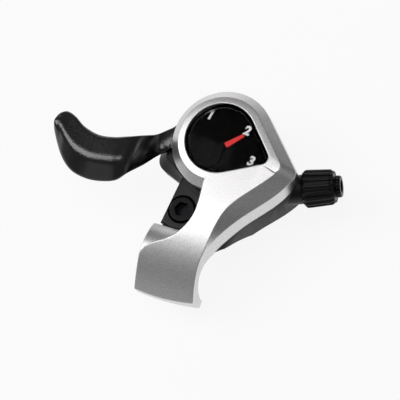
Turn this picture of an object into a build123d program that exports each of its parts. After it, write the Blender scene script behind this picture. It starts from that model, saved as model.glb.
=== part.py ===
from build123d import *
import math
import os

os.makedirs("parts", exist_ok=True)

# A left-hand indexed thumb-lever gear shifter with a dial, a cable adjuster and a
# bar clamp. Millimetres. Origin at the centre of the handlebar bore, X along the
# bar toward the stem, Y forward, Z the way the dial faces.

# Handlebar and clamp
BAR_R = 11.1
SADDLE_T = 1.7
SADDLE_R = BAR_R + SADDLE_T
LOW_SADDLE_R = SADDLE_R + SADDLE_T
STRAP_W = 9.8
STRAP_T = 1.6
BOLT_X = 0.0
BOLT_Y = 18.0
BOLT_R = 3.0
BOLT_HEAD_R = 5.0
BOLT_HEX = 5.0
NUT_HEX = 10.0
NUT_H = 5.0
EAR_TOP = 7.2
EAR_UNDER = -0.5
HEAD_SEAT = 2.6
HEAD_TOP = 7.6
LUG_TOP = -2.9

# Lever axis and dial centre in plan
PIVOT_X = 6.9
PIVOT_Y = 38.0
DIAL_RIGHT = 2.3
DIAL_AHEAD = 6.3
DIAL_X = PIVOT_X + DIAL_RIGHT
DIAL_Y = PIVOT_Y + DIAL_AHEAD

# Heights
BASE_BOTTOM = -2.0
FLOOR = 0.0
TRAY_RIM = 8.0
SPLIT = 10.4
SLOT_TOP = 12.8
BEVEL_LOW = 16.5
TOP = 20.0
RING_FALL = 0.45
LEDGE_TOP = 18.4
LEDGE_LOW = 17.2

# Cover plan sizes
RING_R_TOP = 15.8
RING_R_OUT = 18.9
CORNER_TOP = (31.2, 39.5, 2.8)
CORNER_OUT = (36.5, 38.7, 3.1)
WINDOW_R = 13.2
WINDOW_CORNER = (26.2, 41.2, 2.8)
RIM_W = 0.3
WALL = 2.2
LEDGE_W = 1.2
DRAFT = 2.0
TAIL_LEFT = -6.9
TAIL_WALL = 1.9
TAIL_TIP_Z = 1.5
TAIL_R = 58.0
TAIL_TANGENT_Y = 22.0
GAP = 0.05
SADDLE_EDGE_Y = 9.6
SADDLE_END_Z = 1.2
TAIL_RIGHT_IN = 14.0
BAR_CLEAR = 0.3
CAVITY_CORNER = (33.6, 39.2, 2.0)
LEDGE_CORNER = (26.2, 41.2, 1.6)

# Base plan sizes
BASE_IN = 1.0
FLANK_TOP = 0.3
FLANK_SWELL = [1.0, 1.0, 0.7, 1.0, 2.0, 2.2, 2.2, 2.2]
FLANK_FALL = 2.5
CHIN_X = 18.3
CHIN_BACK = (9.6, 6.2)
CHIN_FRONT_Y = 18.0
BASE_CORNER = (36.0, 38.6, 2.6)
LEAF_ROOT_R = 18.6
LEAF_ROOT_A = 188.0
LEAF_EYE_R = 1.5
LEAF_PIN_R = 0.8
LOBE_LOW_R = 5.2
LOBE_LOW_A = 186.2
LOBE_LOW_OUT = 0.2
LOBE_TOP_R = 3.6
LOBE_TOP_A = 182.1
LOBE_TOP_OUT = -2.1
LOBE_DRAFT = 0.8
TRAY_WALL = 1.7
LOBE_Z = 3.4
BOSS_R = 5.3
SPRING_POCKET_R = LEAF_ROOT_R + LEAF_EYE_R + 0.4
LEAF_SWING_R = LEAF_ROOT_R - 2.1
STRAP_END_Z = 5.0
SCREWS = [(16.9, 57.4), (31.6, 41.0), (15.5, 18.6)]
SCREW_R = 1.2
SCREW_HEAD_R = 2.2
SCREW_HEAD_H = 1.4
SCREW_BITE = 5.0
POST_R = 2.0
AXLE_FLANGE_R = 4.0

# Dial
DIAL_T = 0.9
LENS_TOP = 19.7
STUB_R = 1.8
NEEDLE_Z = (17.45, 18.05)
NEEDLE_HUB_R = 4.6
NEEDLE_ROOT = 6.5
NEEDLE_TIP = 13.9

# Lever stack on the axle
AXLE_R = 2.5
RUN = 0.05
BUSH_R = 3.8
PLATE_R = 11.2
PLATE_Z = (0.5, 1.9)
DRUM_R = PLATE_R + 0.3
DRUM_GROOVE_R = DRUM_R - 0.9
GROOVE_W = 1.6
NIPPLE_R = 2.2
DRUM_TOP = 8.3
HUB_R = 8.0
HUB_TOP = 12.3
ARM_LOW = 8.9
CAVITY_R = DRUM_R + 0.4
TRAY_R = CAVITY_R + TRAY_WALL
WASHER_R = 5.0
WASHER_T = 0.4
CLIP_R = 3.9
CLIP_T = 0.7
CLIP_LIFT = 0.4
CLIP_MOUTH = 3.8
CLIP_BITE = 0.5
DRIVE_IN_R = 4.2
DRIVE_R = 5.4
DRIVE_H = 2.2
DRIVE_ROOF = 1.0
NOTCH_R = 1.2
NOTCH_ANGLE = 196.0
STEP_TO_ONE = 60.0
STEP_TO_THREE = 44.0
NEEDLE_ANGLE = 45.0

# Cable adjuster
ADJ_X = 40.5
ADJ_Y = 37.75
ADJ_Z = 5.0
ADJ_ANGLE = 20.0
KNOB_R = 6.9
KNOB_L = 11.5
ADJ_BOLT_R = 3.0
ADJ_BORE_R = 1.1
ADJ_END_R = 3.8
ADJ_END_L = 2.3
ADJ_BOLT_IN = 9.1
SOCKET_R = 2.3
SOCKET_L = 2.2
FLANGE_T = 1.4
POCKET_S = 4.0
POCKET_SIDE = 1.0
FLANGE_SIDE = 0.7
SPRING_R = 4.4
SPRING_WIRE = 0.8
SPRING_PITCH = 2.0
RIBS = 16
RIB_W = 1.4
RIB_D = 0.5
KNOB_EDGE = 1.2
KNOB_GAP = 0.1
FAR = 120.0

# Lever sections: x, then (y, z) of the back top edge, the crease, the front low edge, the back low edge
LEVER_SECTIONS = [
    (-11.0, (47.6, 12.3), (38.6, 12.3), (38.2, 8.9), (47.6, 8.9)),
    (-15.1, (44.0, 11.9), (35.0, 12.3), (34.0, 9.6), (44.0, 9.0)),
    (-17.4, (41.0, 14.4), (30.0, 17.0), (27.5, 14.9), (41.0, 9.8)),
    (-19.8, (37.4, 21.6), (26.4, 22.8), (21.7, 20.1), (37.0, 14.8)),
    (-23.1, (35.2, 24.8), (25.0, 24.5), (18.0, 19.4), (34.6, 18.9)),
    (-28.5, (33.4, 25.4), (24.0, 24.7), (16.2, 18.8), (32.6, 19.2)),
    (-34.5, (32.8, 25.4), (23.7, 24.6), (15.5, 18.8), (32.0, 19.2)),
    (-41.0, (34.4, 25.3), (25.5, 24.4), (16.5, 18.9), (33.6, 19.4)),
    (-46.0, (37.2, 25.1), (28.7, 24.2), (19.6, 19.3), (36.5, 20.0)),
    (-50.0, (38.2, 24.7), (32.2, 24.0), (24.4, 19.9), (37.4, 20.8)),
    (-53.2, (36.3, 24.1), (33.5, 23.9), (30.4, 21.0), (35.5, 21.6)),
]


def save(shape, node):
    export_step(shape, "parts/" + node + ".step")


def disc(x, y, r, z0, z1):
    return Pos(x, y, (z0 + z1) / 2) * Cylinder(r, z1 - z0)


def ring(x, y, r_in, r_out, z0, z1):
    return disc(x, y, r_out, z0, z1) - disc(x, y, r_in, z0 - 1, z1 + 1)


def block(x0, x1, y0, y1, z0, z1):
    return Pos((x0 + x1) / 2, (y0 + y1) / 2, (z0 + z1) / 2) * Box(x1 - x0, y1 - y0, z1 - z0)


def bar(r, x0, x1):
    return Pos((x0 + x1) / 2, 0, 0) * Rot(0, 90, 0) * Cylinder(r, x1 - x0)


def hull(r, corner, grow=0.0):
    big = Pos(DIAL_X, DIAL_Y) * Circle(r + grow)
    small = Pos(corner[0], corner[1]) * Circle(corner[2] + grow)
    return make_hull((big.edges() + small.edges()))


def rise(face, z0, z1):
    return extrude(Pos(0, 0, z0) * face, z1 - z0, dir=(0, 0, 1))


def polar(r, a):
    return (PIVOT_X + r * math.cos(math.radians(a)), PIVOT_Y + r * math.sin(math.radians(a)))


def sector(r, a0, a1, z0, z1):
    steps = 8
    pts = [polar(r, a0 + (a1 - a0) * i / steps) for i in range(steps + 1)]
    face = make_face(Polyline((PIVOT_X, PIVOT_Y), *pts, close=True))
    return rise(face, z0, z1)


def along(s):
    """A frame at distance s on the cable adjuster's axis, with Z pointing outward."""
    c = math.cos(math.radians(ADJ_ANGLE))
    d = math.sin(math.radians(ADJ_ANGLE))
    place = Plane(origin=(ADJ_X + s * c, ADJ_Y + s * d, ADJ_Z), x_dir=(0, 0, 1), z_dir=(c, d, 0))
    return place.location


def rod(r, s0, s1):
    return along((s0 + s1) / 2) * Cylinder(r, s1 - s0)


def lobe(out, angle, r, tray_r):
    """Plan of the side boss that houses the click spring, drawn out of the round tray."""
    end = Pos(*polar(LEAF_ROOT_R + out, angle)) * Circle(r)
    tray_circle = Pos(PIVOT_X, PIVOT_Y) * Circle(tray_r)
    return make_hull(end.edges() + tray_circle.edges())


# Neck and tail in plan: the right side, the lower edge, and the concave left side
RIGHT_TOP = [(33.2, 36.9), (28.0, 30.2), (21.5, 21.9), (18.2, 14.6)]
RIGHT_TOP += [(16.4, 7.5), (15.3, 0.0), (15.0, -7.5), (15.0, -14.0)]
RIGHT_OUT = [(39.0, 36.8), (31.8, 25.9), (26.1, 19.2), (21.6, 12.7)]
RIGHT_OUT += [(18.2, 6.0), (16.2, -0.5), (15.4, -7.5), (15.2, -14.0)]
LEFT = [(TAIL_LEFT, -3.6), (-5.7, -0.9), (2.4, 4.5), (7.2, 9.5), (9.6, 15.5), (9.5, 22.5), (9.0, 27.0)]


def neck(right, out=0.0, left_in=0.0, tail_in=0.0):
    pts = right[:1] + [(x + out, y - 0.6 * out) for x, y in right[1:4]]
    pts += [(x + out, y) for x, y in right[4:]]
    pts[-1] = (pts[-1][0], pts[-1][1] + tail_in)
    foot = (TAIL_LEFT + left_in, -14.9 + tail_in)
    left = [(x + left_in, y) for x, y in LEFT]
    edges = [
        Spline(*pts),
        ThreePointArc(pts[-1], (4.0, -15.3 + tail_in), foot),
        Line(foot, left[0]),
        Spline(*left),
        Line(left[-1], (DIAL_X + left_in, DIAL_Y)),
        Line((DIAL_X + left_in, DIAL_Y), pts[0]),
    ]
    return make_face(edges)


def under_tail(drop):
    """Everything below the top surface, which bends down over the bar."""
    z = TOP - drop
    r = TAIL_R - drop
    y_end = -30.0
    z_end = z - r + math.sqrt(r * r - (TAIL_TANGENT_Y - y_end) ** 2)
    y_mid = -4.0
    z_mid = z - r + math.sqrt(r * r - (TAIL_TANGENT_Y - y_mid) ** 2)
    wire = [
        Line((90, z), (TAIL_TANGENT_Y, z)),
        ThreePointArc((TAIL_TANGENT_Y, z), (y_mid, z_mid), (y_end, z_end)),
        Line((y_end, z_end), (y_end, -40)),
        Line((y_end, -40), (90, -40)),
        Line((90, -40), (90, z)),
    ]
    face = Plane.YZ * make_face(wire)
    return Pos(-60, 0, 0) * extrude(face, 120, dir=(1, 0, 0))


# Top cover: dial ring, bevels, neck and the tail that wraps over the bar
hull_out = hull(RING_R_OUT, CORNER_OUT)
hull_top = hull(RING_R_TOP, CORNER_TOP)
ring_edge = Pos(0, 0, TOP - RING_FALL) * hull_top
ring_top = loft([Pos(0, 0, BEVEL_LOW) * hull_out, ring_edge], ruled=True)
ring_top += loft([ring_edge, Pos(0, 0, TOP) * hull(WINDOW_R, WINDOW_CORNER, RIM_W)], ruled=True)
ring_low = rise(hull_out, SPLIT, BEVEL_LOW)
neck_mid = Pos(0, 0, BEVEL_LOW) * neck(RIGHT_OUT)
neck_top = loft([neck_mid, Pos(0, 0, TOP) * neck(RIGHT_TOP)], ruled=True)
neck_low = loft([Pos(0, 0, TAIL_TIP_Z) * neck(RIGHT_OUT, DRAFT), neck_mid], ruled=True)
cover = ring_top + ring_low + neck_top + neck_low
low_saddle = bar(LOW_SADDLE_R, TAIL_LEFT, 10.0)
low_saddle &= block(TAIL_LEFT, 10.0, -3.0, SADDLE_EDGE_Y, 2.0, 20.0)
cover += low_saddle
cover &= under_tail(0)
below_split = block(-40, 60, 2.0, 90, -5, SPLIT)
saddle_keep = block(-20, 10.0, -2.0, SADDLE_EDGE_Y, -5, 30)
cover -= below_split - saddle_keep
cover -= bar(BAR_R + BAR_CLEAR, -60, 60)
cover -= bar(SADDLE_R + GAP, TAIL_LEFT + TAIL_WALL, TAIL_RIGHT_IN)
cover -= rise(hull(RING_R_OUT - WALL, CAVITY_CORNER), 0, LEDGE_LOW)
cover -= sector(30, 100, 273, 0, SLOT_TOP) & block(-60, 9.4, 24.0, 90, 0, SLOT_TOP)
cover -= rise(hull(WINDOW_R, WINDOW_CORNER), LEDGE_TOP, TOP + 5)
cover -= rise(hull(WINDOW_R - LEDGE_W, LEDGE_CORNER), 10, LEDGE_TOP + 1)
for x, y in SCREWS:
    cover += disc(x, y, POST_R, SPLIT, LEDGE_LOW + 0.4) & under_tail(1.0)
    cover -= disc(x, y, SCREW_R, SPLIT - 1, SPLIT + SCREW_BITE)
save(cover, "top_cover")

# Base: the black tray under the mechanism, its neck, bar saddle, ear and bosses
tray = rise(hull(RING_R_OUT - BASE_IN, BASE_CORNER), BASE_BOTTOM, SPLIT)
tray += disc(PIVOT_X, PIVOT_Y, TRAY_R, BASE_BOTTOM, SPLIT)
RIGHT_FLANK = [(x + out, y) for (x, y), out in zip(RIGHT_OUT, FLANK_SWELL)]
flank_foot = Pos(0, 0, SPLIT - FLANK_FALL) * neck(RIGHT_FLANK)
flank = loft([flank_foot, Pos(0, 0, SPLIT) * neck(RIGHT_OUT, FLANK_TOP)], ruled=True)
flank += rise(neck(RIGHT_FLANK), BASE_BOTTOM, SPLIT - FLANK_FALL)
tray += flank & block(-2.0, 60, 2.1, 90, -9, 30)
lobe_low = lobe(LOBE_LOW_OUT, LOBE_LOW_A, LOBE_LOW_R, TRAY_R)
lobe_top = lobe(LOBE_TOP_OUT, LOBE_TOP_A, LOBE_TOP_R, TRAY_R - LOBE_DRAFT)
tray += rise(lobe_low, BASE_BOTTOM, LOBE_Z)
tray += loft([Pos(0, 0, LOBE_Z) * lobe_low, Pos(0, 0, TRAY_RIM) * lobe_top], ruled=True)
tray -= sector(60, 98, 275, TRAY_RIM, SPLIT + 5)
under_saddle = block(-30, 11, -30, SADDLE_EDGE_Y + GAP, 2.0 - GAP, 30)
tray -= bar(LOW_SADDLE_R + GAP, -30, 10.0 + GAP) & under_saddle
ear_face = make_face(Polyline((-4.6, 29.5), (-6.4, 11.2), (10.0, 8.0), (10.0, 29.5), close=True))
ear = rise(ear_face, EAR_UNDER, EAR_TOP)
ear = fillet(ear.edges().group_by(Axis.Z)[-1], 1.0)
saddle = bar(SADDLE_R, TAIL_LEFT + TAIL_WALL + GAP, TAIL_RIGHT_IN - GAP)
saddle &= block(-30, 30, -20, 12.0, SADDLE_END_Z, 30)
base = tray + ear + saddle
boss = rod(BOSS_R, -ADJ_BOLT_IN - 1.0, -KNOB_GAP)
base += boss
hollow = rise(hull(RING_R_OUT - BASE_IN - WALL, CAVITY_CORNER), FLOOR, SPLIT + 5)
base -= hollow - block(-60, 60, 0, 30.5, -9, 30)
base -= disc(PIVOT_X, PIVOT_Y, CAVITY_R, FLOOR, SPLIT + 5)
base -= sector(SPRING_POCKET_R, 181, 196.5, FLOOR, PLATE_Z[1] + 0.8)
base -= sector(LEAF_SWING_R, 181, 203, FLOOR, PLATE_Z[1] + 0.8)
base -= bar(BAR_R, -60, 60)
base -= bar(BAR_R + BAR_CLEAR, TAIL_RIGHT_IN - GAP, 60)
tail_side = block(TAIL_RIGHT_IN - GAP, 60, -30, 2.0, -30, 30)
base -= bar(SADDLE_R + BAR_CLEAR, TAIL_RIGHT_IN - GAP, 60) & tail_side
base -= block(-30, 60, -30, 20, -9, SADDLE_END_Z) & block(-30, 60, -30, 0.0, -30, 30)
base -= block(-STRAP_W / 2 - 0.2, STRAP_W / 2 + 0.2, -20, -9.0, -9, STRAP_END_Z)
chin_pts = [CHIN_BACK, (CHIN_FRONT_Y, BASE_BOTTOM), (CHIN_FRONT_Y, -9.0), (5.0, -9.0), (5.0, CHIN_BACK[1])]
chin = make_face(Polyline(*chin_pts, close=True))
base -= Pos(CHIN_X, 0, 0) * extrude(Plane.YZ * chin, FAR, dir=(1, 0, 0))
base -= disc(BOLT_X, BOLT_Y, BOLT_R + 0.2, -10, 10)
base -= disc(BOLT_X, BOLT_Y, BOLT_HEAD_R + 0.35, HEAD_SEAT, 10)
base -= rod(ADJ_BOLT_R + 0.02, -40, 2) & block(20, 60, 0, 60, -9, 20)
base -= rod(1.6, -40, 2)
for x, y in SCREWS:
    base += disc(x, y, POST_R, BASE_BOTTOM, SPLIT)
    base -= disc(x, y, SCREW_R + 0.2, BASE_BOTTOM - 1, SPLIT + 1)
    base -= disc(x, y, SCREW_HEAD_R + 0.2, BASE_BOTTOM - 1, BASE_BOTTOM + SCREW_HEAD_H)
base -= disc(PIVOT_X, PIVOT_Y, AXLE_R, -10, FLOOR + 1)
base -= disc(PIVOT_X, PIVOT_Y, AXLE_FLANGE_R, -10, BASE_BOTTOM + 0.9)
save(base, "base_body")

# Screws that hold the cover, driven from below
screws = []
for x, y in SCREWS:
    one = disc(x, y, SCREW_R, BASE_BOTTOM + SCREW_HEAD_H, SPLIT + SCREW_BITE - 0.5)
    one += disc(x, y, SCREW_HEAD_R, BASE_BOTTOM, BASE_BOTTOM + SCREW_HEAD_H)
    one -= block(x - 1.6, x + 1.6, y - 0.3, y + 0.3, BASE_BOTTOM - 1, BASE_BOTTOM + 0.8)
    screws.append(one)
save(Compound(children=screws), "cover_screws")

# Dial face and clear window
dial = rise(hull(WINDOW_R, WINDOW_CORNER, -0.5), LEDGE_LOW - DIAL_T, LEDGE_LOW)
dial -= disc(PIVOT_X, PIVOT_Y, STUB_R + 0.4, -FAR, FAR)
save(dial, "dial_plate")
lens = rise(hull(WINDOW_R, WINDOW_CORNER, -0.1), LEDGE_TOP, LENS_TOP)
lens = chamfer(lens.edges().group_by(Axis.Z)[-1], 0.5)
save(lens, "window_lens")

# Clamp strap with its lug, bolt and nut
strap = bar(BAR_R + STRAP_T, -STRAP_W / 2, STRAP_W / 2) - bar(BAR_R, -30, 30)
strap &= block(-30, 30, -30, 30, -30, LUG_TOP) + block(-30, 30, -30, -5, -30, STRAP_END_Z)
lug = block(-STRAP_W / 2, STRAP_W / 2, 11.0, BOLT_Y + 5.4, LUG_TOP - STRAP_T, LUG_TOP)
lug = fillet(lug.edges().filter_by(Axis.Z).group_by(Axis.Y)[-1], 3.0)
strap += lug - bar(BAR_R, -30, 30)
strap -= disc(BOLT_X, BOLT_Y, BOLT_R + 0.2, -20, 10)
save(strap, "clamp_strap")
bolt = disc(BOLT_X, BOLT_Y, BOLT_R, LUG_TOP - STRAP_T - NUT_H - 1.5, HEAD_SEAT)
head = disc(BOLT_X, BOLT_Y, BOLT_HEAD_R, HEAD_SEAT, HEAD_TOP)
head = chamfer(head.edges().group_by(Axis.Z)[-1], 0.6)
bolt += head
socket = Pos(BOLT_X, BOLT_Y) * RegularPolygon(BOLT_HEX / 2, 6, major_radius=False)
bolt -= rise(socket, HEAD_TOP - 3.0, HEAD_TOP + 1)
save(bolt, "clamp_bolt")
nut_face = Pos(BOLT_X, BOLT_Y) * RegularPolygon(NUT_HEX / 2, 6, major_radius=False)
nut = rise(nut_face, LUG_TOP - STRAP_T - NUT_H, LUG_TOP - STRAP_T)
nut -= disc(BOLT_X, BOLT_Y, BOLT_R, -30, 10)
save(nut, "clamp_nut")

# Lever axle, its thrust washer and the retaining clip
axle = disc(PIVOT_X, PIVOT_Y, AXLE_R, BASE_BOTTOM, HUB_TOP + CLIP_LIFT + CLIP_T + CLIP_BITE)
axle += disc(PIVOT_X, PIVOT_Y, AXLE_FLANGE_R, BASE_BOTTOM, BASE_BOTTOM + 0.9)
CLIP_Z = (HUB_TOP + CLIP_LIFT, HUB_TOP + CLIP_LIFT + CLIP_T)
axle -= ring(PIVOT_X, PIVOT_Y, AXLE_R - CLIP_BITE, AXLE_R + 1, *CLIP_Z)
save(axle, "lever_axle")
save(ring(PIVOT_X, PIVOT_Y, AXLE_R, WASHER_R, FLOOR, FLOOR + WASHER_T), "thrust_washer")
clip = ring(PIVOT_X, PIVOT_Y, AXLE_R - CLIP_BITE, CLIP_R, *CLIP_Z)
clip -= block(PIVOT_X - CLIP_MOUTH / 2, PIVOT_X + CLIP_MOUTH / 2, PIVOT_Y, PIVOT_Y + FAR, -FAR, FAR)
save(clip, "axle_clip")

# Turning stack: bush, click plate, cable drum
bush = ring(PIVOT_X, PIVOT_Y, AXLE_R + RUN, BUSH_R, PLATE_Z[0], HUB_TOP)
save(bush, "pivot_bush")
plate = ring(PIVOT_X, PIVOT_Y, BUSH_R, PLATE_R, *PLATE_Z)
for a in (NOTCH_ANGLE, NOTCH_ANGLE - STEP_TO_ONE, NOTCH_ANGLE + STEP_TO_THREE):
    plate -= disc(*polar(PLATE_R + 0.25, a), NOTCH_R, -1, 5)
save(plate, "click_plate")
drum = ring(PIVOT_X, PIVOT_Y, BUSH_R, DRUM_R, PLATE_Z[1], DRUM_TOP)
drum -= ring(PIVOT_X, PIVOT_Y, DRUM_GROOVE_R, DRUM_R + 1, ADJ_Z - GROOVE_W / 2, ADJ_Z + GROOVE_W / 2)
drum -= disc(*polar(DRUM_R - NIPPLE_R / 2, 100), NIPPLE_R, ADJ_Z - GROOVE_W / 2, DRUM_TOP + 1)
save(drum, "cable_drum")

# Click spring: a leaf with a formed nose in the middle notch
tip = polar(PLATE_R + 0.25, NOTCH_ANGLE)
nose = disc(*tip, NOTCH_R - 0.12, PLATE_Z[0] + 0.1, PLATE_Z[1] - 0.1)
root = polar(LEAF_ROOT_R, LEAF_ROOT_A)
leaf_line = Polyline(
    polar(PLATE_R + 0.9, NOTCH_ANGLE - 1),
    polar(PLATE_R + 1.5, NOTCH_ANGLE + 3),
    polar(LEAF_ROOT_R, LEAF_ROOT_A + 1.5),
    polar(LEAF_ROOT_R, LEAF_ROOT_A - 1.5),
    close=True,
)
leaf = make_face(leaf_line)
click = nose + rise(leaf, PLATE_Z[0] + 0.1, PLATE_Z[1] - 0.1)
click += disc(*root, LEAF_EYE_R, PLATE_Z[0] + 0.1, PLATE_Z[1] - 0.1)
click -= disc(*root, LEAF_PIN_R, -FAR, FAR)
save(click, "click_spring")
save(disc(*root, LEAF_PIN_R, FLOOR, PLATE_Z[1] + 0.5), "spring_pin")

# Thumb lever: hub, low arm under the ring, riser and paddle
faces = []
for x, *pts in LEVER_SECTIONS:
    faces.append(make_face(Polyline(*[(x, y, z) for y, z in pts], close=True)))
blade = loft(faces)
arm_x = LEVER_SECTIONS[0][0]
arm_back = (arm_x, LEVER_SECTIONS[0][1][0])
arm_front = (arm_x, LEVER_SECTIONS[0][3][0])
arm = make_face(Polyline(polar(HUB_R, 85), arm_back, arm_front, polar(HUB_R, 250), close=True))
hub = disc(PIVOT_X, PIVOT_Y, HUB_R, DRUM_TOP, HUB_TOP) + rise(arm, ARM_LOW, HUB_TOP)
lever = hub + blade
lever -= disc(PIVOT_X, PIVOT_Y, BUSH_R, -FAR, FAR)
save(lever, "thumb_lever")

# Dial drive: a cup over the clip with a stub through the dial, needle hub and needle
drive = ring(PIVOT_X, PIVOT_Y, DRIVE_IN_R, DRIVE_R, HUB_TOP, HUB_TOP + DRIVE_H)
drive += disc(PIVOT_X, PIVOT_Y, DRIVE_R, HUB_TOP + DRIVE_H, HUB_TOP + DRIVE_H + DRIVE_ROOF)
drive += disc(PIVOT_X, PIVOT_Y, STUB_R, HUB_TOP + DRIVE_H + DRIVE_ROOF, NEEDLE_Z[1])
save(drive, "dial_drive")
turn = Pos(PIVOT_X, PIVOT_Y, 0) * Rot(0, 0, NEEDLE_ANGLE)
needle_hub = disc(0, 0, NEEDLE_HUB_R, *NEEDLE_Z) + block(0, NEEDLE_ROOT, -1.2, 1.2, *NEEDLE_Z)
needle_hub = turn * (needle_hub - disc(0, 0, STUB_R, -FAR, FAR))
save(needle_hub, "needle_hub")
needle_pts = [(NEEDLE_ROOT, -1.05), (NEEDLE_TIP, -0.6), (NEEDLE_TIP, 0.6), (NEEDLE_ROOT, 1.05)]
needle_line = Polyline(*needle_pts, close=True)
needle_face = make_face(needle_line)
save(turn * rise(needle_face, *NEEDLE_Z), "dial_needle")

# Cable adjuster: knob, threaded bolt and the spring between them
knob = rod(KNOB_R, 0, KNOB_L)
knob = chamfer(knob.edges().filter_by(GeomType.CIRCLE), KNOB_EDGE)
knob -= rod(ADJ_BOLT_R + RUN, -FAR, FAR)
knob -= rod(SPRING_R + POCKET_SIDE, POCKET_S, FAR)
for i in range(RIBS):
    cut = Pos(KNOB_R + RIB_D, 0, 0) * Box(4 * RIB_D, RIB_W, KNOB_L + 2)
    knob -= along(KNOB_L / 2) * Rot(0, 0, 360 * i / RIBS) * cut
save(knob, "adjuster_knob")
adj = rod(ADJ_BOLT_R, -ADJ_BOLT_IN, KNOB_L)
adj += rod(SPRING_R + FLANGE_SIDE, KNOB_L - FLANGE_T, KNOB_L)
adj += rod(ADJ_END_R, KNOB_L, KNOB_L + ADJ_END_L)
adj -= rod(ADJ_BORE_R, -FAR, FAR)
adj -= rod(SOCKET_R, KNOB_L + ADJ_END_L - SOCKET_L, FAR)
save(adj, "adjuster_bolt")
spring_h = KNOB_L - FLANGE_T - POCKET_S - SPRING_WIRE - GAP
path = Helix(pitch=SPRING_PITCH, height=spring_h, radius=SPRING_R - SPRING_WIRE / 2)
wire = Plane(origin=path @ 0, x_dir=(1, 0, 0), z_dir=path % 0) * Rectangle(SPRING_WIRE, SPRING_WIRE)
coil = sweep(wire, path=path, is_frenet=True)
save(along(POCKET_S + (SPRING_WIRE + GAP) / 2) * coil, "adjuster_spring")
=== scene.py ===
import math

import bmesh
import bpy
from mathutils import Matrix, Vector


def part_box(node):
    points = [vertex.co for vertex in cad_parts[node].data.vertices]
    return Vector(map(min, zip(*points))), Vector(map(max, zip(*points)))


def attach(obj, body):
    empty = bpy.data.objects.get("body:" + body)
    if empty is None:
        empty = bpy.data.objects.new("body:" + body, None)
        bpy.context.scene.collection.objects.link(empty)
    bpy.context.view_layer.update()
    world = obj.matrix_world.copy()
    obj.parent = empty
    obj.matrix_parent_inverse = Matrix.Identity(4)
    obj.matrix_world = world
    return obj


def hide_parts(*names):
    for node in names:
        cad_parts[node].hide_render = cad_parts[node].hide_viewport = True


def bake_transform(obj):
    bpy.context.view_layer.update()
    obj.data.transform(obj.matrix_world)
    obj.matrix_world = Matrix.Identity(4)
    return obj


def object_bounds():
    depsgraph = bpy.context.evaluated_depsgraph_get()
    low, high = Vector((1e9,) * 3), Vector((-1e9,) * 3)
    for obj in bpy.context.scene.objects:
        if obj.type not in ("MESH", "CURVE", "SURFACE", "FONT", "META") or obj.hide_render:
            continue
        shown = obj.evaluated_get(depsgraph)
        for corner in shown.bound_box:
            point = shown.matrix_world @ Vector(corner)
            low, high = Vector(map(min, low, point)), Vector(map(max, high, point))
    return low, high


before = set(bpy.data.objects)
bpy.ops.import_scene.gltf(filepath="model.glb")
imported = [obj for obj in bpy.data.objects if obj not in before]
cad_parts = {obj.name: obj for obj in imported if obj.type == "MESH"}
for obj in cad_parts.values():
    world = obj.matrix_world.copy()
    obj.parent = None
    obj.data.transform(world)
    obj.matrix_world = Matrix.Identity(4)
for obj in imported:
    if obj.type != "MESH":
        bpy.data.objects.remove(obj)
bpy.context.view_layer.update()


# Base body. The real one is moulded black nylon with a fine spark-eroded grain: tray, neck,
# bar saddle, bolt ear and bosses in one shot. Its outer edges have a small mould radius.

def new_finish(name):
    """A new material, with its list of nodes, its link maker and its shader."""
    mat = bpy.data.materials.new(name)
    mat.use_nodes = True
    nodes = mat.node_tree.nodes
    return mat, nodes, mat.node_tree.links.new, nodes["Principled BSDF"]


def preset(node, settings):
    """Sets a node's free inputs by their names."""
    for name, value in settings.items():
        node.inputs[name].default_value = value


def tone(colour, gain, lift=0.0):
    """The colour made darker or paler, as RGBA."""
    return (*[min(1, c * gain + lift) for c in colour], 1)


def combine(mat, operation, first, second):
    """A socket with the result of a math step on two sockets, or on a socket and a number."""
    step = mat.node_tree.nodes.new("ShaderNodeMath")
    step.operation = operation
    mat.node_tree.links.new(first, step.inputs[0])
    if isinstance(second, float):
        step.inputs[1].default_value = second
    else:
        mat.node_tree.links.new(second, step.inputs[1])
    return step.outputs[0]


def noise(mat, settings):
    """A cloudy pattern that stays with the piece."""
    where = mat.node_tree.nodes.new("ShaderNodeTexCoord")
    pattern = mat.node_tree.nodes.new("ShaderNodeTexNoise")
    preset(pattern, settings)
    mat.node_tree.links.new(where.outputs["Object"], pattern.inputs["Vector"])
    return pattern.outputs["Fac"]


def two_tone(mat, pattern, dark, pale, dark_at=0.0, pale_at=1.0):
    """A colour that goes from dark to pale with the pattern."""
    tint = mat.node_tree.nodes.new("ShaderNodeValToRGB")
    for element, colour, position in zip(tint.color_ramp.elements, (dark, pale), (dark_at, pale_at)):
        element.position = position
        element.color = colour
    mat.node_tree.links.new(pattern, tint.inputs["Fac"])
    return tint.outputs["Color"]


def spread(mat, pattern, low, high):
    """The pattern carried over to values from low to high."""
    span = mat.node_tree.nodes.new("ShaderNodeMapRange")
    preset(span, {"To Min": low, "To Max": high})
    mat.node_tree.links.new(pattern, span.inputs["Value"])
    return span.outputs["Result"]


def paler_edge_colour(mat, mask, colour, on_edge):
    """The colour, with the paler one where the mask is full. On the silver paint that paler edge is a
    painted highlight.
    """
    mix = mat.node_tree.nodes.new("ShaderNodeMix")
    mix.data_type = "RGBA"
    mat.node_tree.links.new(mask, mix.inputs["Factor"])
    mat.node_tree.links.new(colour, mix.inputs["A"])
    mix.inputs["B"].default_value = on_edge
    return mix.outputs["Result"]


def relief(mat, height, strength, depth_mm, normal):
    """Fine relief by the height pattern, on top of a given normal."""
    bump = mat.node_tree.nodes.new("ShaderNodeBump")
    preset(bump, {"Strength": strength, "Distance": depth_mm / 1000.0})
    mat.node_tree.links.new(height, bump.inputs["Height"])
    mat.node_tree.links.new(normal, bump.inputs["Normal"])
    return bump.outputs["Normal"]


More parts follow.
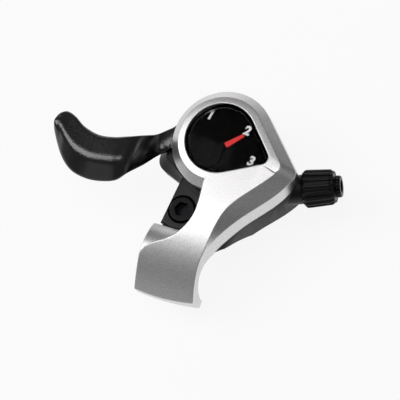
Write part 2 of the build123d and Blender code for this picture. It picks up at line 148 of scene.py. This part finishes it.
def soft_edges(mat, radius_mm):
    """Sockets of the normal rounded over edges, and of how near an edge or a crest is."""
    nodes = mat.node_tree.nodes
    link = mat.node_tree.links.new
    rounded = nodes.new("ShaderNodeBevel")
    rounded.samples = 6
    preset(rounded, {"Radius": radius_mm / 1000.0})
    true = nodes.new("ShaderNodeNewGeometry")
    turn = nodes.new("ShaderNodeVectorMath")
    turn.operation = "DOT_PRODUCT"
    link(rounded.outputs["Normal"], turn.inputs[0])
    link(true.outputs["Normal"], turn.inputs[1])
    near = nodes.new("ShaderNodeMapRange")
    preset(near, {"From Min": 0.99, "From Max": 0.8})
    link(turn.outputs["Value"], near.inputs["Value"])
    crest = nodes.new("ShaderNodeAttribute")
    crest.attribute_name = "pale_edge_mark"
    edges = combine(mat, "MAXIMUM", near.outputs["Result"], crest.outputs["Fac"])
    return rounded.outputs["Normal"], edges


def moulded_plastic(name, colour, rough, grain_mm, grain_depth_mm, fade=0.25, edge_mm=0.3, sheen=0.4):
    """Moulded plastic: fine grain as relief, cloudy colour, smoother where it has been handled."""
    mat, _, link, skin = new_finish(name)
    clouds = noise(mat, {"Scale": 110.0, "Detail": 5.0})
    tint = two_tone(mat, clouds, tone(colour, 1 - fade), tone(colour, 1 + fade), 0.3, 0.75)
    rounded, edges = soft_edges(mat, edge_mm)
    patchy_edges = combine(mat, "MULTIPLY", edges, clouds)
    link(paler_edge_colour(mat, patchy_edges, tint, tone(colour, 1.5, 0.012)), skin.inputs["Base Color"])
    link(spread(mat, clouds, rough - 0.07, rough + 0.1), skin.inputs["Roughness"])
    grain = noise(mat, {"Scale": 1000.0 / grain_mm, "Detail": 2.0})
    link(relief(mat, grain, 0.5, grain_depth_mm, rounded), skin.inputs["Normal"])
    preset(skin, {"Specular IOR Level": sheen})
    return mat


def shade_by_angle(shell, angle):
    """Smooth faces, with the edges that turn more than the angle kept sharp."""
    for face in shell.faces:
        face.smooth = True
    for edge in shell.edges:
        edge.smooth = edge.calc_face_angle(0.0) < math.radians(angle)


def new_piece(name, mesh, mat):
    """An object at the origin with this mesh and finish."""
    mesh.materials.clear()
    mesh.materials.append(mat)
    piece = bpy.data.objects.new(name, mesh)
    bpy.context.scene.collection.objects.link(piece)
    return piece


def plain_mesh(piece):
    """The piece's mesh as its modifiers leave it."""
    return bpy.data.meshes.new_from_object(piece.evaluated_get(bpy.context.evaluated_depsgraph_get()))


merge_gap = 2e-6
flat_angle = 0.6


def with_mould_radius(node, radius_mm, mat, body, angle=28.0):
    """The node's own shape, joined up, with its sharp edges bevelled as far as short edges allow.

    On the moulded pieces that is a hairline, and the finish rounds the rest. The bevels are marked
    The bevels are marked for the finish's paler edge colour, which on the silver paint is a painted
    highlight.
    """
    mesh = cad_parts[node].data.copy()
    mesh.name = node + "_rounded"
    shell = bmesh.new()
    shell.from_mesh(mesh)
    bmesh.ops.remove_doubles(shell, verts=shell.verts, dist=merge_gap)
    flat = math.radians(flat_angle)
    bmesh.ops.dissolve_limit(shell, angle_limit=flat, verts=shell.verts, edges=shell.edges)
    shade_by_angle(shell, angle)
    shell.to_mesh(mesh)
    shell.free()
    piece = new_piece(node + "_rounded", mesh, mat)
    mesh.materials.append(mat)
    edge_round = piece.modifiers.new("mould_radius", "BEVEL")
    edge_round.width = radius_mm / 1000.0
    edge_round.segments = 3
    edge_round.limit_method = "ANGLE"
    edge_round.angle_limit = math.radians(angle)
    edge_round.harden_normals = True
    edge_round.material = 1
    solid = plain_mesh(piece)
    piece.modifiers.clear()
    piece.data = solid
    on_edge = [1.0] * len(solid.vertices)
    for face in solid.polygons:
        if face.material_index == 0:
            for v in face.vertices:
                on_edge[v] = 0.0
        face.material_index = 0
    solid.materials.pop(index=1)
    solid.attributes.new("pale_edge_mark", "FLOAT", "POINT").data.foreach_set("value", on_edge)
    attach(piece, body)
    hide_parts(node)


black_nylon = moulded_plastic("black_nylon", (0.005, 0.005, 0.0055), rough=0.4, grain_mm=0.35,
                              grain_depth_mm=0.05, edge_mm=0.5, sheen=0.28)
with_mould_radius("base_body", 0.25, black_nylon, "housing")


# Strap, nut and cover screws. Pressed and turned steel with a bright zinc plate: the strap
# closes round the bar, the nut sits under its lug, and the screws hold the cover from below.

def plated_steel(name, colour, rough, mark_mm=0.4):
    """Plated steel: fine working marks and a faint cloudy passivation."""
    mat, _, link, skin = new_finish(name)
    preset(skin, {"Metallic": 1.0})
    haze = noise(mat, {"Scale": 300.0, "Detail": 4.0})
    tint = two_tone(mat, haze, tone(colour, 0.75), tone(colour, 1.0))
    rounded, edges = soft_edges(mat, 0.25)
    link(paler_edge_colour(mat, edges, tint, tone(colour, 1.3, 0.02)), skin.inputs["Base Color"])
    marks = noise(mat, {"Scale": 1000.0 / mark_mm})
    link(spread(mat, marks, rough - 0.08, rough + 0.12), skin.inputs["Roughness"])
    link(relief(mat, marks, 0.25, 0.03, rounded), skin.inputs["Normal"])
    return mat


def dress(node, mat):
    """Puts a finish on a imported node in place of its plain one."""
    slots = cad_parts[node].data.materials
    slots.clear()
    slots.append(mat)


zinc = plated_steel("zinc_plate", (0.62, 0.62, 0.6), rough=0.32)
with_mould_radius("clamp_strap", 0.2, zinc, "housing")
with_mould_radius("clamp_nut", 0.25, zinc, "housing")
with_mould_radius("cover_screws", 0.12, zinc, "housing")


# Clamp bolt. A 6 mm hexagon-socket screw of blackened steel in the recess of the ear, which
# draws the strap up on the bar. Its finish is paler along the edges.

black_oxide = plated_steel("black_oxide", (0.012, 0.012, 0.013), rough=0.34)
with_mould_radius("clamp_bolt", 0.3, black_oxide, "housing")


# Axle, washer, clip, click plate, click spring and its pin. Steel turnings and pressings on
# which the lever's stack turns and clicks; all of them are inside the housing.

for node in ("lever_axle", "thrust_washer", "axle_clip", "click_plate", "click_spring", "spring_pin"):
    dress(node, zinc)


# Bush and cable drum. White acetal, which needs no grease: they turn with the
# lever, and a strip of the drum shows in the slot.

acetal = moulded_plastic("white_acetal", (0.72, 0.71, 0.67), rough=0.4, grain_mm=0.5,
                         grain_depth_mm=0.02, fade=0.05)
for node in ("pivot_bush", "cable_drum"):
    dress(node, acetal)


# Thumb lever. Moulded black nylon: hub and low arm in the slot under the ring, a riser, and the
# paddle, whose top is grained for the thumb and turns over a rounded crease into a smooth front.

lever_black = moulded_plastic("lever_black", (0.0025, 0.0025, 0.003), rough=0.22, grain_mm=0.62,
                              grain_depth_mm=0.24, sheen=0.9)
nodes = lever_black.node_tree.nodes
link = lever_black.node_tree.links.new
facing = nodes.new("ShaderNodeTexCoord")
split = nodes.new("ShaderNodeSeparateXYZ")
link(facing.outputs["Normal"], split.inputs["Vector"])
on_top = nodes.new("ShaderNodeMapRange")
preset(on_top, {"From Min": 0.8, "From Max": 0.93, "To Min": 0.04, "To Max": 0.32})
link(split.outputs["Z"], on_top.inputs["Value"])
link(on_top.outputs["Result"], nodes["Bump"].inputs["Strength"])

# Sections in mm: x, then y and z of the back top, front top, front low and back low corners.
lever_sections = [
    (-10.6, (47.6, 12.3), (38.6, 12.3), (38.2, 8.9), (47.6, 8.9)),
    (-15.1, (44.0, 11.9), (35.0, 12.3), (34.0, 9.6), (44.0, 9.0)),
    (-17.4, (41.0, 14.4), (30.0, 17.0), (27.5, 14.9), (41.0, 9.8)),
    (-19.8, (37.4, 21.6), (26.4, 22.8), (21.7, 20.1), (37.0, 14.8)),
    (-23.1, (35.2, 24.8), (25.0, 24.5), (18.0, 19.4), (34.6, 18.9)),
    (-28.5, (33.4, 25.4), (24.0, 24.7), (16.2, 18.8), (32.6, 19.2)),
    (-34.5, (32.8, 25.4), (23.7, 24.6), (15.5, 18.8), (32.0, 19.2)),
    (-41.0, (34.4, 25.3), (25.5, 24.4), (16.5, 18.9), (33.6, 19.4)),
    (-46.0, (37.2, 25.1), (28.7, 24.2), (19.6, 19.3), (36.5, 20.0)),
    (-50.0, (38.2, 24.7), (32.2, 24.0), (24.4, 19.9), (37.4, 20.8)),
    (-53.2, (36.3, 24.1), (33.5, 23.9), (30.4, 21.0), (35.5, 21.6)),
]
last_section = len(lever_sections) - 1
root_x, (root_back, root_top), _, (root_front, root_low), _ = lever_sections[0]

# The arm leaves the hub square and is rounded from formed_x on. The crease of the paddle begins
# on the riser. There the back edge leans out and down, and the crease stands up a little.
formed_x = -15.0
crease_from_x = -17.0
crease_full_x = -23.0
least_round = 0.06
back_out = 0.7
back_drop = 1.3
paddle_back_drop = 1.7
crease_up = 0.8
crown_up = 0.9
back_r = 1.8
arm_front_r = 6.0
crease_r = 5.0
under_r = 0.9
most_of_side = 0.42
corner_steps = 6
top_steps = 8
side_steps = 5


def lever_station(u):
    """Corners of the lever's section at u along the list, on a smooth line through all."""
    i = min(int(u), last_section - 1)
    t = u - i
    rows = [lever_sections[min(max(k, 0), last_section)] for k in (i - 1, i, i + 1, i + 2)]
    flat = [[row[0]] + [v for corner in row[1:] for v in corner] for row in rows]
    out = []
    for a, b, c, d in zip(*flat):
        square = (2 * a - 5 * b + 4 * c - d) * t * t
        cube = (3 * b - a - 3 * c + d) * t ** 3
        out.append(0.5 * (2 * b + (c - a) * t + square + cube))
    return out[0], [Vector(out[k:k + 2]) for k in (1, 3, 5, 7)]


def bend(start, corner, end, steps):
    """Points of a rounded corner, with both of its ends."""
    points = []
    for m in range(steps + 1):
        t = m / steps
        points.append(start * (1 - t) ** 2 + corner * 2 * t * (1 - t) + end * t * t)
    return points


def side(start, end):
    """Points between the ends of a straight side, without the ends."""
    return [start.lerp(end, m / side_steps) for m in range(1, side_steps)]


def crown(start, rise, fall, end, steps):
    """Points of one rounded sweep from the start, which is left out, to the end."""
    points = []
    for m in range(1, steps + 1):
        t = m / steps
        points.append(start * (1 - t) ** 3 + rise * 3 * t * (1 - t) ** 2
                      + fall * 3 * t * t * (1 - t) + end * t ** 3)
    return points


def lever_ring(x, corners, shrink):
    """One closed ring of the skin: a crowned top on the arm, a flat one with a crease on the paddle."""
    formed = min(max((root_x - x) / (root_x - formed_x), least_round), 1.0)
    crease = min(max((crease_from_x - x) / (crease_from_x - crease_full_x), 0.0), 1.0)
    lean = shrink * (formed - least_round)
    centre = sum(corners, Vector((0, 0))) / 4
    corners = [centre + (c - centre) * shrink for c in corners]
    corners[0] += Vector((back_out, -back_drop - (paddle_back_drop - back_drop) * crease)) * lean
    corners[1] += Vector((0.0, crease_up * crease)) * shrink
    front_r = arm_front_r + (crease_r - arm_front_r) * crease
    starts, ends = [], []
    for k, radius in enumerate((back_r, front_r, under_r, under_r)):
        to_last = corners[k - 1] - corners[k]
        to_next = corners[(k + 1) % 4] - corners[k]
        cut = radius * formed / math.tan(to_last.angle(to_next) / 2)
        cut = min(cut, most_of_side * to_last.length, most_of_side * to_next.length)
        starts.append(corners[k] + to_last.normalized() * cut)
        ends.append(corners[k] + to_next.normalized() * cut)
    rise = ends[0].lerp(corners[1], 0.55) + Vector((0, crown_up * lean))
    fall = corners[1].lerp(ends[1], 0.1)
    crowned = crown(ends[0], rise, fall, ends[1], 2 * top_steps)
    creased = [ends[0].lerp(starts[1], m / top_steps) for m in range(1, top_steps + 1)]
    creased += bend(starts[1], corners[1], ends[1], top_steps)[1:]
    ring = bend(starts[0], corners[0], ends[0], corner_steps)
    ring += [a.lerp(b, crease) for a, b in zip(crowned, creased)]
    ring += side(ends[1], starts[2])
    for k in (2, 3):
        ring += bend(starts[k], corners[k], ends[k], corner_steps)
        ring += side(ends[k], starts[(k + 1) % 4])
    return [(x / 1000, p.x / 1000, p.y / 1000) for p in ring]


def skin_over(shell, loops):
    """Four-sided faces from each loop of points to the next."""
    for a, b in zip(loops, loops[1:]):
        for k in range(len(a)):
            n = (k + 1) % len(a)
            shell.faces.new((a[k], a[n], b[n], b[k]))


def turned_loops(shell, line, turns, centre=(0.0, 0.0)):
    """Loops of points round an upright axis, one for each radius and height in mm."""
    loops = []
    for r, h in line:
        angles = [2 * math.pi * k / turns for k in range(turns)]
        loops.append([shell.verts.new(((centre[0] + r * math.cos(a)) / 1000,
                                       (centre[1] + r * math.sin(a)) / 1000, h / 1000)) for a in angles])
    return loops


def finished_mesh(shell, name, sharp_angle):
    """The shell as a mesh, with its faces outwards and its sharp edges kept."""
    bmesh.ops.recalc_face_normals(shell, faces=shell.faces)
    shade_by_angle(shell, sharp_angle)
    mesh = bpy.data.meshes.new(name)
    shell.to_mesh(mesh)
    shell.free()
    return mesh


stations = 84
body_end = last_section - 0.4
tip_steps = ((0.28, 0.985), (0.18, 0.94), (0.1, 0.86), (0.045, 0.74), (0.012, 0.58), (0.0, 0.4))
shell = bmesh.new()
spine = [(body_end * s / stations, 1.0) for s in range(stations + 1)]
spine += [(last_section - before, shrink) for before, shrink in tip_steps]
rings = [[shell.verts.new(p) for p in lever_ring(*lever_station(u), shrink)] for u, shrink in spine]
skin_over(shell, rings)
shell.faces.new(rings[0])
shell.faces.new(rings[-1])

# The plate from the arm's root to the hub, and the hub with the hole for its bush.
pivot = Vector((6.9, 38.0))
hub_r, bush_r, hub_low = 8.0, 3.8, 8.3
hub_turns = 48
plate = [Vector((root_x, root_back)), Vector((root_x, root_front))]
for a in (250, 215, 170, 130, 85):
    plate.append(pivot + hub_r * Vector((math.cos(math.radians(a)), math.sin(math.radians(a)))))
plate_loops = [[shell.verts.new((p.x / 1000, p.y / 1000, h / 1000)) for p in plate]
               for h in (root_low, root_top)]
for loop in plate_loops:
    shell.faces.new(loop)
skin_over(shell, plate_loops)
hub_line = [(hub_r, hub_low), (hub_r, root_top), (bush_r, root_top), (bush_r, hub_low)]
hub = turned_loops(shell, hub_line, hub_turns, pivot)
skin_over(shell, hub + hub[:1])
lever = new_piece("lever_skin", finished_mesh(shell, "lever_skin", 40), lever_black)
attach(lever, "lever")
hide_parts("thumb_lever")


# Dial plate, needle hub and needle. Gloss black plastic behind the window, with the numbers
# of the gears printed in white and the red needle pressed on the hub that turns with the lever.

dial_gloss = moulded_plastic("dial_gloss", (0.0014, 0.0014, 0.0016), rough=0.3, grain_mm=2.0,
                             grain_depth_mm=0.003, fade=0.1, sheen=0.02)
for node in ("dial_plate", "needle_hub", "dial_drive"):
    dress(node, dial_gloss)
needle_red = moulded_plastic("needle_red", (0.88, 0.02, 0.018), rough=0.4, grain_mm=0.6,
                             grain_depth_mm=0.01, fade=0.08, edge_mm=0.1)
dress("dial_needle", needle_red)
print_white = moulded_plastic("print_white", (0.95, 0.95, 0.94), rough=0.5, grain_mm=0.3,
                              grain_depth_mm=0.004, fade=0.04, edge_mm=0.02)
dial_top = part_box("dial_plate")[1][2]
digit_high = 0.0048
stroke_widened = 0.00022
print_thick = 0.00001
print_turn = Matrix.Rotation(math.radians(-4), 4, "Z")
for number, x, y in (("1", 1.7, 52.3), ("2", 17.1, 50.0), ("3", 22.3, 39.5)):
    letters = bpy.data.curves.new("number_" + number, "FONT")
    letters.body = number
    letters.size = digit_high
    letters.align_x = "CENTER"
    letters.align_y = "CENTER"
    letters.offset = stroke_widened
    letters.extrude = print_thick
    letters.shear = 0.12
    draft = bpy.data.objects.new("number_draft", letters)
    bpy.context.scene.collection.objects.link(draft)
    digit_mesh = plain_mesh(draft)
    bpy.data.objects.remove(draft)
    on_dial = Matrix.Translation((x / 1000, y / 1000, dial_top + print_thick))
    digit_mesh.transform(on_dial @ print_turn)
    digit = new_piece("number_" + number, digit_mesh, print_white)
    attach(digit, "housing")


# Window. Clear polycarbonate with a coat against glare, pushed in from above on to the ledge
# of the ring. Its chamfered rim catches the light.

clear, _, link, pane = new_finish("clear_window")
preset(pane, {"Base Color": (1, 1, 1, 1), "Transmission Weight": 1.0, "IOR": 1.07})
fingers = noise(clear, {"Scale": 160.0, "Detail": 6.0})
link(spread(clear, fingers, 0.0, 0.06), pane.inputs["Roughness"])
dress("window_lens", clear)


# Top cover. Moulded in ABS and sprayed with fine-flake silver paint. It frames the dial, and
# its tail runs down over the bar; three screws from below hold it on the base.

def silver_paint():
    """Metallic paint: aluminium flake of different sizes under a thin lacquer, with a painted highlight
    along its edges.
    """
    mat, nodes, link, skin = new_finish("silver_paint")
    preset(skin, {"Metallic": 1.0})
    flake = noise(mat, {"Scale": 2600.0, "Detail": 3.0, "Roughness": 0.7})
    tint = two_tone(mat, flake, (0.54, 0.53, 0.535, 1), (0.9, 0.89, 0.895, 1), 0.3, 0.72)
    # Paler colour near edges and crests, in patches: a painted highlight along the paint's edges.
    rounded, edges = soft_edges(mat, 0.6)
    patches = noise(mat, {"Scale": 240.0})
    patchy_edges = combine(mat, "MULTIPLY", edges, patches)
    link(paler_edge_colour(mat, patchy_edges, tint, (0.85, 0.84, 0.84, 1)), skin.inputs["Base Color"])
    link(spread(mat, flake, 0.32, 0.44), skin.inputs["Roughness"])
    where = nodes.new("ShaderNodeTexCoord")
    cell = nodes.new("ShaderNodeTexVoronoi")
    preset(cell, {"Scale": 6000.0})
    link(where.outputs["Object"], cell.inputs["Vector"])
    link(relief(mat, cell.outputs["Distance"], 0.2, 0.02, rounded), skin.inputs["Normal"])
    return mat


with_mould_radius("top_cover", 0.55, silver_paint(), "housing", 15.0)


# Cable adjuster. A hollow black bolt with a ferrule seat in its end, a small spring, and the
# moulded knob, whose axial ribs are for the fingers.

with_mould_radius("adjuster_bolt", 0.2, black_oxide, "barrel")
knob_black = moulded_plastic("knob_black", (0.0035, 0.0035, 0.004), rough=0.42, grain_mm=0.4,
                             grain_depth_mm=0.04, sheen=0.2)
knob_r, rib_high, knob_long, knob_edge = 6.9, 0.5, 11.5, 1.2
pocket_r, pocket_from, bore_r = 5.4, 4.0, 3.05
taper, taper_from, end_round = 0.06, 2.0, 0.5
end_lip, end_lip_below = 0.4, 0.9
knob_turns = 96
knob_lean = math.radians(20)
knob_place = Matrix.Translation((0.0405, 0.03775, 0.005)) @ Matrix((
    (0.0, math.sin(knob_lean), math.cos(knob_lean), 0.0),
    (0.0, -math.cos(knob_lean), math.sin(knob_lean), 0.0),
    (1.0, 0.0, 0.0, 0.0),
    (0.0, 0.0, 0.0, 1.0)))


def fall_at(s):
    """How far the knob's skin is inside its full radius at s along the axis."""
    far_end = min(knob_edge, max(taper * (s - taper_from), s - knob_long + knob_edge + end_round))
    return max(0.0, knob_edge - s, far_end)


core_line = [(bore_r, 0.0), (bore_r, pocket_from), (pocket_r, pocket_from), (pocket_r, knob_long)]
for s in (11.5, 11.3, 11.0, 10.6, 10.2, 5.75, 1.9, 1.2, 0.8, 0.2, 0.0):
    lip = end_lip if fall_at(s) > end_lip_below else 0.0
    core_line.append((knob_r - rib_high - fall_at(s) + lip, s))
shell = bmesh.new()
loops = turned_loops(shell, core_line, knob_turns)
skin_over(shell, loops + loops[:1])
core_mesh = finished_mesh(shell, "knob_core", 30)
core_mesh.transform(knob_place)
core = new_piece("knob_core", core_mesh, knob_black)
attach(core, "knob")
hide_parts("adjuster_knob")

# The spring between the knob's floor and the bolt's end, as one smooth-shaded copy of its coil.
coil_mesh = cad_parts["adjuster_spring"].data.copy()
coil_mesh.name = "adjuster_coil"
shell = bmesh.new()
shell.from_mesh(coil_mesh)
bmesh.ops.remove_doubles(shell, verts=shell.verts, dist=merge_gap)
for face in shell.faces:
    face.smooth = True
shell.to_mesh(coil_mesh)
shell.free()
coil = new_piece("adjuster_coil", coil_mesh, zinc)
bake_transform(coil)
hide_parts("adjuster_spring")


# Ribs of the knob and of the bolt's end, moulded on the one and rolled on the other. One rib is a
# mesh, and Geometry Nodes set all of them round the axis. Their crests are marked to be paler in the
# finish.

crest_share = 0.45


def one_rib(name, half, line):
    """A rib with half a cross-section given as (aside, up), along a line of (radius, s) in mm."""
    profile = half + [(-w, h) for w, h in reversed(half[:-1])]
    shell = bmesh.new()
    loops = [[shell.verts.new(((r + h) / 1000, w / 1000, s / 1000)) for w, h in profile] for r, s in line]
    skin_over(shell, loops)
    shell.faces.new(loops[0])
    shell.faces.new(loops[-1])
    bmesh.ops.recalc_face_normals(shell, faces=shell.faces)
    for face in shell.faces:
        face.smooth = len(face.verts) == 4
    mesh = bpy.data.meshes.new(name)
    shell.to_mesh(mesh)
    shell.free()
    crest_half = crest_share * abs(half[0][0]) / 1000
    crest = [1.0 if abs(v.co.y) < crest_half else 0.0 for v in mesh.vertices]
    mesh.attributes.new("pale_edge_mark", "FLOAT", "POINT").data.foreach_set("value", crest)
    rib = bpy.data.objects.new(name, mesh)
    bpy.context.scene.collection.objects.link(rib)
    return rib


tree = bpy.data.node_groups.new("ribs_round_axis", "GeometryNodeTree")
count_in = tree.interface.new_socket(name="Rib count", in_out="INPUT", socket_type="NodeSocketInt")
rib_in = tree.interface.new_socket(name="Rib", in_out="INPUT", socket_type="NodeSocketObject")
skin_in = tree.interface.new_socket(name="Finish", in_out="INPUT", socket_type="NodeSocketMaterial")
tree.interface.new_socket(name="Ribs", in_out="OUTPUT", socket_type="NodeSocketGeometry")
given = tree.nodes.new("NodeGroupInput")
made = tree.nodes.new("NodeGroupOutput")
points = tree.nodes.new("GeometryNodePoints")
number = tree.nodes.new("GeometryNodeInputIndex")
between = tree.nodes.new("ShaderNodeMath")
between.operation = "ADD"
between.inputs[1].default_value = 0.5
share_turn = tree.nodes.new("ShaderNodeMath")
share_turn.operation = "DIVIDE"
full_turn = tree.nodes.new("ShaderNodeMath")
full_turn.operation = "MULTIPLY"
full_turn.inputs[1].default_value = 2 * math.pi
about_axis = tree.nodes.new("ShaderNodeCombineXYZ")
turned = tree.nodes.new("FunctionNodeEulerToRotation")
shape = tree.nodes.new("GeometryNodeObjectInfo")
placed = tree.nodes.new("GeometryNodeInstanceOnPoints")
real = tree.nodes.new("GeometryNodeRealizeInstances")
finish = tree.nodes.new("GeometryNodeSetMaterial")
join = tree.links.new
join(given.outputs["Rib count"], points.inputs["Count"])
join(number.outputs["Index"], between.inputs[0])
join(between.outputs[0], share_turn.inputs[0])
join(given.outputs["Rib count"], share_turn.inputs[1])
join(share_turn.outputs[0], full_turn.inputs[0])
join(full_turn.outputs[0], about_axis.inputs["Z"])
join(about_axis.outputs[0], turned.inputs["Euler"])
join(given.outputs["Rib"], shape.inputs["Object"])
join(points.outputs[0], placed.inputs["Points"])
join(shape.outputs["Geometry"], placed.inputs["Instance"])
join(turned.outputs["Rotation"], placed.inputs["Rotation"])
join(placed.outputs["Instances"], real.inputs["Geometry"])
join(real.outputs["Geometry"], finish.inputs["Geometry"])
join(given.outputs["Finish"], finish.inputs["Material"])
join(finish.outputs["Geometry"], made.inputs["Ribs"])


def ribs_round_axis(name, rib, count, mat):
    """The rib, count times round the adjuster's axis, as a plain mesh in place."""
    host = bpy.data.objects.new(name, bpy.data.meshes.new(name))
    bpy.context.scene.collection.objects.link(host)
    ribs = host.modifiers.new("ribs", "NODES")
    ribs.node_group = tree
    ribs[count_in.identifier] = count
    ribs[rib_in.identifier] = rib
    ribs[skin_in.identifier] = mat
    mesh = plain_mesh(host)
    host.modifiers.clear()
    bpy.data.objects.remove(rib)
    mesh.transform(knob_place)
    host.data = mesh
    return host


knob_rib_count = 16
rib_half = [(-0.74, -0.75), (-0.7, -0.42), (-0.6, -0.16), (-0.4, -0.03), (0.0, 0.0)]
rib_line = [(knob_r - fall_at(s), s)
            for s in (0.12, 0.4, 0.8, 1.1, 1.5, 3.0, 5.75, 8.5, 10.0, 10.2, 10.5, 10.8, 11.1, 11.38)]
knob_rib = one_rib("knob_rib", rib_half, rib_line)
knob_ribs = ribs_round_axis("knob_ribs", knob_rib, knob_rib_count, knob_black)
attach(knob_ribs, "knob")
end_rib_count = 20
end_half = [(-0.34, -0.2), (-0.3, 0.04), (-0.18, 0.15), (0.0, 0.18)]
end_line = [(3.7, 11.95), (3.78, 12.1), (3.8, 12.3), (3.8, 13.1), (3.78, 13.3), (3.7, 13.45)]
end_rib = one_rib("end_rib", end_half, end_line)
end_ribs = ribs_round_axis("end_ribs", end_rib, end_rib_count, black_oxide)
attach(end_ribs, "barrel")


# Floor. A plain white sheet just under the part. It mostly glows by itself, as an overexposed
# paper does, and the rest of it takes a soft shadow.

floor_half = 4.0
floor_below = 0.0005
glow_share = 0.9
floor_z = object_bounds()[0][2] - floor_below
floor_mesh = bpy.data.meshes.new("floor")
corners = [(x * floor_half, y * floor_half, floor_z) for x, y in ((-1, -1), (1, -1), (1, 1), (-1, 1))]
floor_mesh.from_pydata(corners, [], [(0, 1, 2, 3)])
paper, nodes, link, sheet = new_finish("white_paper")
preset(sheet, {"Base Color": (0.9, 0.9, 0.9, 1), "Roughness": 0.8})
glow = nodes.new("ShaderNodeEmission")
preset(glow, {"Color": (1, 1, 1, 1), "Strength": 1.0})
ray = nodes.new("ShaderNodeLightPath")
seen = combine(paper, "MAXIMUM", ray.outputs["Is Camera Ray"], ray.outputs["Is Glossy Ray"])
seen = combine(paper, "MAXIMUM", seen, ray.outputs["Is Transmission Ray"])
both = nodes.new("ShaderNodeMixShader")
link(combine(paper, "MULTIPLY", seen, glow_share), both.inputs["Fac"])
link(sheet.outputs["BSDF"], both.inputs[1])
link(glow.outputs["Emission"], both.inputs[2])
link(both.outputs["Shader"], nodes["Material Output"].inputs["Surface"])
floor = new_piece("floor", floor_mesh, paper)


# Light. A wide soft box overhead on the left, whose reflection lies on the flat top of the cover,
# a smaller one straight above, weak ones in front and behind, and a grey room around them.

middle = Vector((0.007, 0.024, 0.01))
box_far = 0.8


def soft_box(name, toward, width, height, watts):
    """A soft box some way off from the part's middle, turned to it."""
    lamp = bpy.data.lights.new(name, "AREA")
    lamp.shape = "RECTANGLE"
    lamp.size = width
    lamp.size_y = height
    lamp.energy = watts
    box = bpy.data.objects.new(name, lamp)
    box.location = middle + box_far * Vector(toward)
    box.rotation_euler = (middle - box.location).to_track_quat("-Z", "Y").to_euler()
    bpy.context.scene.collection.objects.link(box)


soft_box("left_box", (-0.58, -0.05, 0.81), width=0.5, height=0.5, watts=2.75)
soft_box("over_box", (0.1, 0.08, 0.99), width=0.34, height=0.34, watts=1.25)
soft_box("front_box", (-0.35, -0.88, 0.3), width=0.4, height=0.3, watts=0.12)
soft_box("back_box", (-0.5, 0.84, 0.18), width=0.4, height=0.3, watts=0.5)
room = bpy.data.worlds.new("room")
room.use_nodes = True
preset(room.node_tree.nodes["Background"], {"Color": (1, 1, 1, 1), "Strength": 0.14})
bpy.context.scene.world = room


# Camera at the photograph's angle: a long lens about half a metre away, so that the part shows
# little perspective.

right = Vector((0.90199183, 0.33691355, -0.27))
up = Vector((-0.2536852, 0.91958894, 0.30))
back = Vector((0.34936308, -0.20210254, 0.91493169))
aim = Vector((0.0072, 0.0221, 0.0120))
camera_far = 0.54
lens = bpy.data.cameras.new("camera")
lens.lens = 135.0
lens.sensor_width = 36.0
lens.clip_start = 0.01
camera = bpy.data.objects.new("camera", lens)
camera_turn = Matrix((right, up, back)).transposed().to_4x4()
camera.matrix_world = Matrix.Translation(aim + back * camera_far) @ camera_turn
bpy.context.scene.collection.objects.link(camera)
bpy.context.scene.camera = camera
bpy.context.scene.view_settings.view_transform = "Standard"
